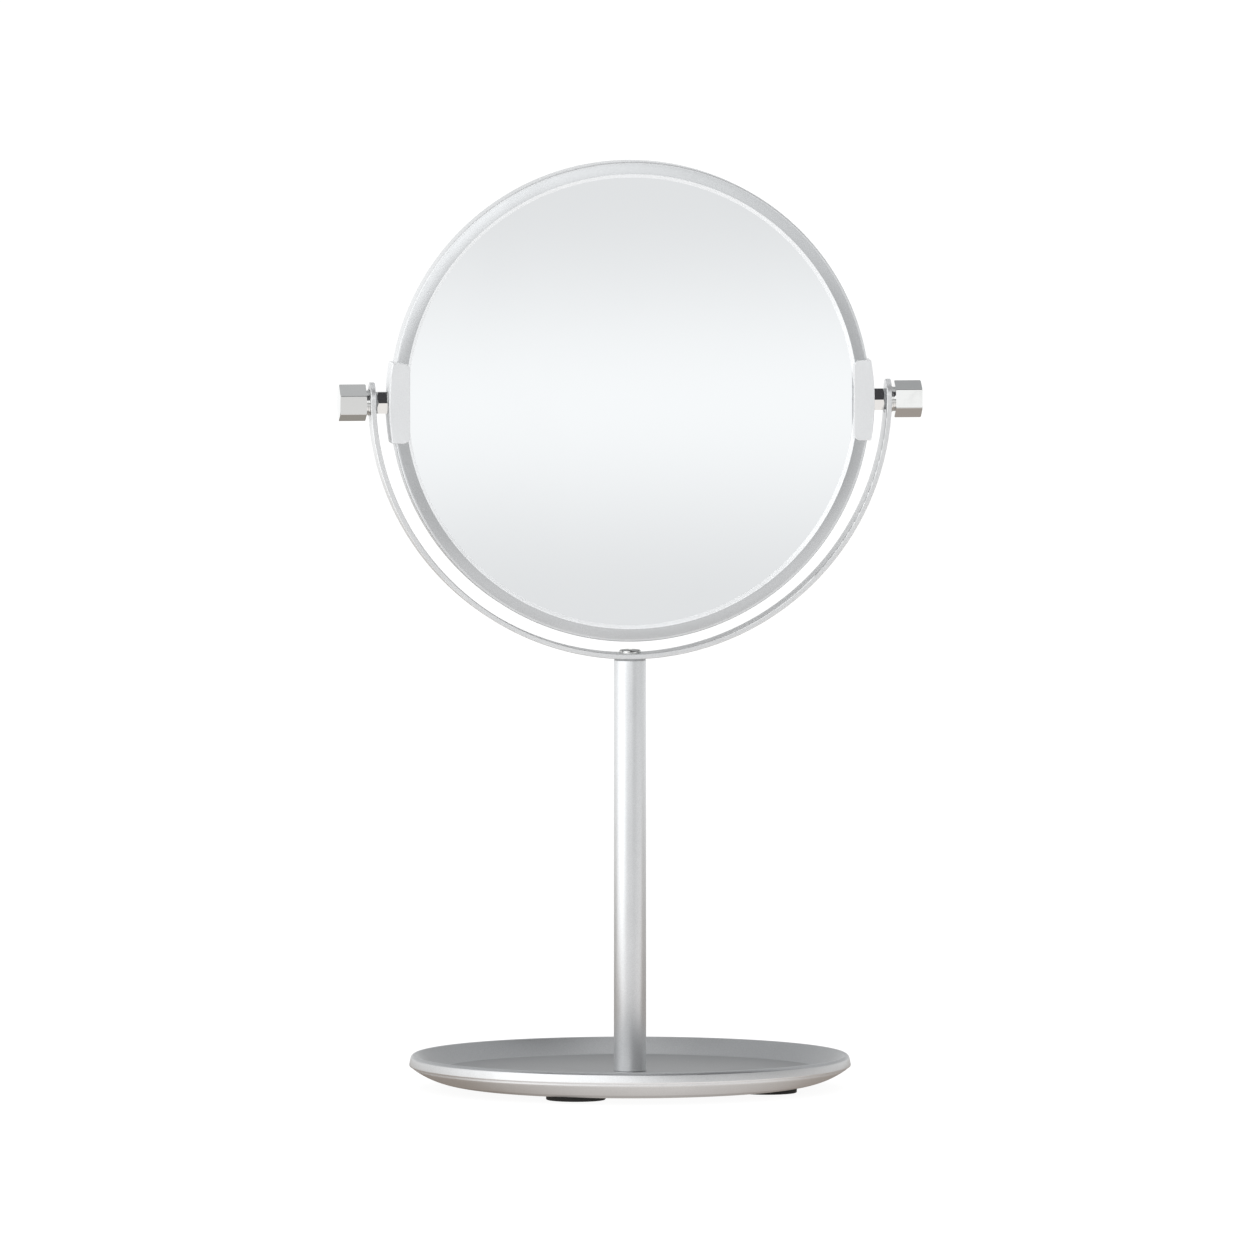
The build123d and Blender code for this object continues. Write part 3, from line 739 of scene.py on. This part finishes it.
TABLE_LIT_AND_SHADED_TONES = (
    (-1.00, (0.60, 0.60, 0.60, 1)),
    (-0.70, (0.74, 0.74, 0.74, 1)),
    (-0.45, (0.42, 0.42, 0.42, 1)),
    (-0.20, (0.76, 0.74, 0.73, 1)),
    (-0.09, (0.90, 0.87, 0.85, 1)),
    (-0.04, (0.36, 0.31, 0.27, 1)),
    (0.03, (0.16, 0.12, 0.09, 1)),
    (0.12, (0.26, 0.22, 0.19, 1)),
    (0.30, (0.17, 0.155, 0.13, 1)),
    (0.70, (0.40, 0.38, 0.35, 1)),
)  # what glossy surfaces see in the table, painted light in front and painted shade under and behind the part: metres behind the stem, and colour


def floor_material():
    """Matt pale board lit from below, so that its shadows stay thin.

    Glossy surfaces see it with painted light and shade: lighter in front, brownish and darker under and behind the
    part where its painted shade falls, and as bright as the walls further out.
    """
    material, graph, shader = new_material("floor_white")
    place = graph.node("ShaderNodeTexCoord").outputs["Object"]
    sides = graph.node("ShaderNodeSeparateXYZ", {0: place}).outputs
    first, last = TABLE_LIT_AND_SHADED_TONES[0][0], TABLE_LIT_AND_SHADED_TONES[-1][0]
    share = graph.math("DIVIDE", graph.math("SUBTRACT", sides["Y"], first), last - first)
    # painted light in front and painted shade under and behind the part, as glossy surfaces see the table
    near = tone_ramp(graph, share, TABLE_LIT_AND_SHADED_TONES, first, last)
    away = graph.node("ShaderNodeVectorMath", {0: place}, operation="LENGTH").outputs["Value"]
    far = graph.group(STUDIO_ROUND, {"Direction": place}).outputs["Low Tone"]
    leftward = graph.math("MAXIMUM", graph.math("MULTIPLY", sides["X"], -2.5), 0.0)
    leftward = graph.math("MULTIPLY", leftward, graph.ramp(sides["Y"], 0.35, 0.1))
    seen = graph.mix(graph.ramp(graph.math("ADD", away, leftward), 0.9, 1.9), near, far)
    glossy = graph.node("ShaderNodeLightPath").outputs["Is Glossy Ray"]
    glow = graph.mix(glossy, FLOOR_GLOW, seen)
    shader.inputs["Base Color"].default_value = FLOOR_PAINT
    graph.link(glow, shader.inputs["Emission Color"])
    shader.inputs["Emission Strength"].default_value = 1.0
    shader.inputs["Roughness"].default_value = 1.0
    shader.inputs["Specular IOR Level"].default_value = 0.0
    return material


CARD_DISTANCE = 1.5  # from the stem, on the camera's side
CARD_HALF = 0.098
CARD_EDGE = (0.80, 0.81, 0.822, 1)
CARD_MIDDLE = (0.99, 1.005, 1.018, 1)


def gradient_card_material(low_z, high_z):
    """Glowing card, brightest in the middle of its height."""
    material = bpy.data.materials.new("gradient_card")
    material.use_nodes = True
    material.node_tree.nodes.clear()
    graph = Graph(material.node_tree)
    place = graph.node("ShaderNodeTexCoord").outputs["Object"]
    height = graph.node("ShaderNodeSeparateXYZ", {0: place}).outputs["Z"]
    middle = (low_z + high_z) / 2
    away = graph.math("ABSOLUTE", graph.math("SUBTRACT", height, middle))
    glow = graph.ramp(away, 0.0, 0.46 * (high_z - low_z), 1.0, 0.0)
    tone = graph.mix(glow, CARD_EDGE, CARD_MIDDLE)
    light = graph.node("ShaderNodeEmission", {"Color": tone, "Strength": 1.0})
    graph.node("ShaderNodeOutputMaterial", {"Surface": light.outputs["Emission"]})
    return material


def make_mirror_card():
    """Card in front of the mirror, where the mirror throws the camera's sight line."""
    eye = bpy.context.scene.camera.location
    x = -eye.x / -eye.y * CARD_DISTANCE
    z = PIVOT_Z - (eye.z - PIVOT_Z) / -eye.y * CARD_DISTANCE
    half = CARD_HALF
    corners = [
        (x - half, -CARD_DISTANCE, z - half),
        (x + half, -CARD_DISTANCE, z - half),
        (x + half, -CARD_DISTANCE, z + half),
        (x - half, -CARD_DISTANCE, z + half),
    ]
    card = flat_sheet("mirror_card", corners, gradient_card_material(z - half, z + half))
    card.visible_camera = False
    card.visible_diffuse = False
    card.visible_shadow = False


BACKDROP = (1.12, 1.12, 1.12, 1)  # what the camera sees
DARK_GAP = (0.06, 0.06, 0.065, 1)
BACK_WALL = (0.42, 0.43, 0.44, 1)
CEILING = (0.60, 0.61, 0.62, 1)


def make_world():
    """White room for the eye, dimmer in front for matt surfaces; glossy surfaces see a built-up studio.

    The studio has a low and a raised round of tones, a dark gap above them in front, and a grey ceiling
    that comes down further at the back.
    """
    world = bpy.data.worlds.new("studio")
    bpy.context.scene.world = world
    world.use_nodes = True
    world.node_tree.nodes.clear()
    graph = Graph(world.node_tree)
    direction = graph.node("ShaderNodeTexCoord").outputs["Generated"]
    parts = graph.node("ShaderNodeSeparateXYZ", {0: direction}).outputs
    walls = graph.group(STUDIO_ROUND, {"Direction": direction}).outputs
    lowest = graph.mix(graph.ramp(parts["Z"], 0.0, 0.05), walls["Low Tone"], walls["Raised Tone"])
    left = graph.ramp(parts["X"], -0.02, -0.22)
    top_edge = graph.math("ADD", 0.38, graph.math("MULTIPLY", left, 0.30))
    over = graph.math("SUBTRACT", parts["Z"], top_edge)
    front_side = graph.mix(graph.ramp(over, -0.02, 0.03), lowest, DARK_GAP)
    back_low = graph.mix(graph.ramp(parts["Z"], 0.09, 0.20), walls["Low Tone"], walls["Raised Tone"])
    back_side = graph.mix(graph.ramp(parts["Z"], 0.20, 0.60), back_low, BACK_WALL)
    studio = graph.mix(graph.ramp(parts["Y"], -0.05, 0.10), front_side, back_side)
    studio = graph.mix(graph.ramp(parts["Z"], 0.93, 0.985), studio, CEILING)
    level = graph.ramp(parts["Y"], -0.9, 0.6, 0.50, 1.05)
    overhead = graph.math("MULTIPLY", graph.ramp(parts["Z"], 0.25, 0.90), 0.85)
    shade = graph.math("ADD", level, overhead)
    matt = graph.node("ShaderNodeCombineColor", {0: shade, 1: shade, 2: shade}).outputs[0]
    path = graph.node("ShaderNodeLightPath").outputs
    tone = graph.mix(path["Is Glossy Ray"], matt, studio)
    tone = graph.mix(path["Is Camera Ray"], tone, BACKDROP)
    background = graph.node("ShaderNodeBackground", {"Color": tone, "Strength": 1.0})
    graph.node("ShaderNodeOutputWorld", {"Surface": background.outputs["Background"]})


def softbox(name, azimuth, elevation, width, radiance, distance=1.8, height=1.5):
    """Rectangular soft light facing the stem; azimuth is counted from the camera's side, to the right."""
    data = bpy.data.lights.new(name, "AREA")
    data.shape = "RECTANGLE"
    data.size = width
    data.size_y = height
    data.energy = radiance * math.pi * width * height
    light = bpy.data.objects.new(name, data)
    turn = VIEW_AZIMUTH + math.radians(azimuth)
    lift = math.radians(elevation)
    light.location = (
        math.sin(turn) * math.cos(lift) * distance,
        -math.cos(turn) * math.cos(lift) * distance,
        AIM_HEIGHT + math.sin(lift) * distance,
    )
    light.rotation_euler = (math.pi / 2 - lift, 0.0, turn)
    light.visible_camera = False
    light.visible_glossy = False
    bpy.context.scene.collection.objects.link(light)


def make_stage():
    """Floor, room and lights."""
    reach = FLOOR_REACH
    corners = [(-reach, -reach, 0.0), (reach, -reach, 0.0), (reach, reach, 0.0), (-reach, reach, 0.0)]
    flat_sheet("floor", corners, floor_material())
    make_world()
    softbox("key_softbox", azimuth=-82.0, elevation=12.0, width=1.0, radiance=2.0)
    softbox("right_softbox", azimuth=88.0, elevation=10.0, width=0.8, radiance=1.2)
    make_mirror_card()


make_camera()
dress_frame()
make_stem_skin()
make_tray_skin()
make_pan_skin()
make_hoop_skins()
make_magnifier_skin()
make_stage()
bpy.context.scene.view_settings.view_transform = "Standard"
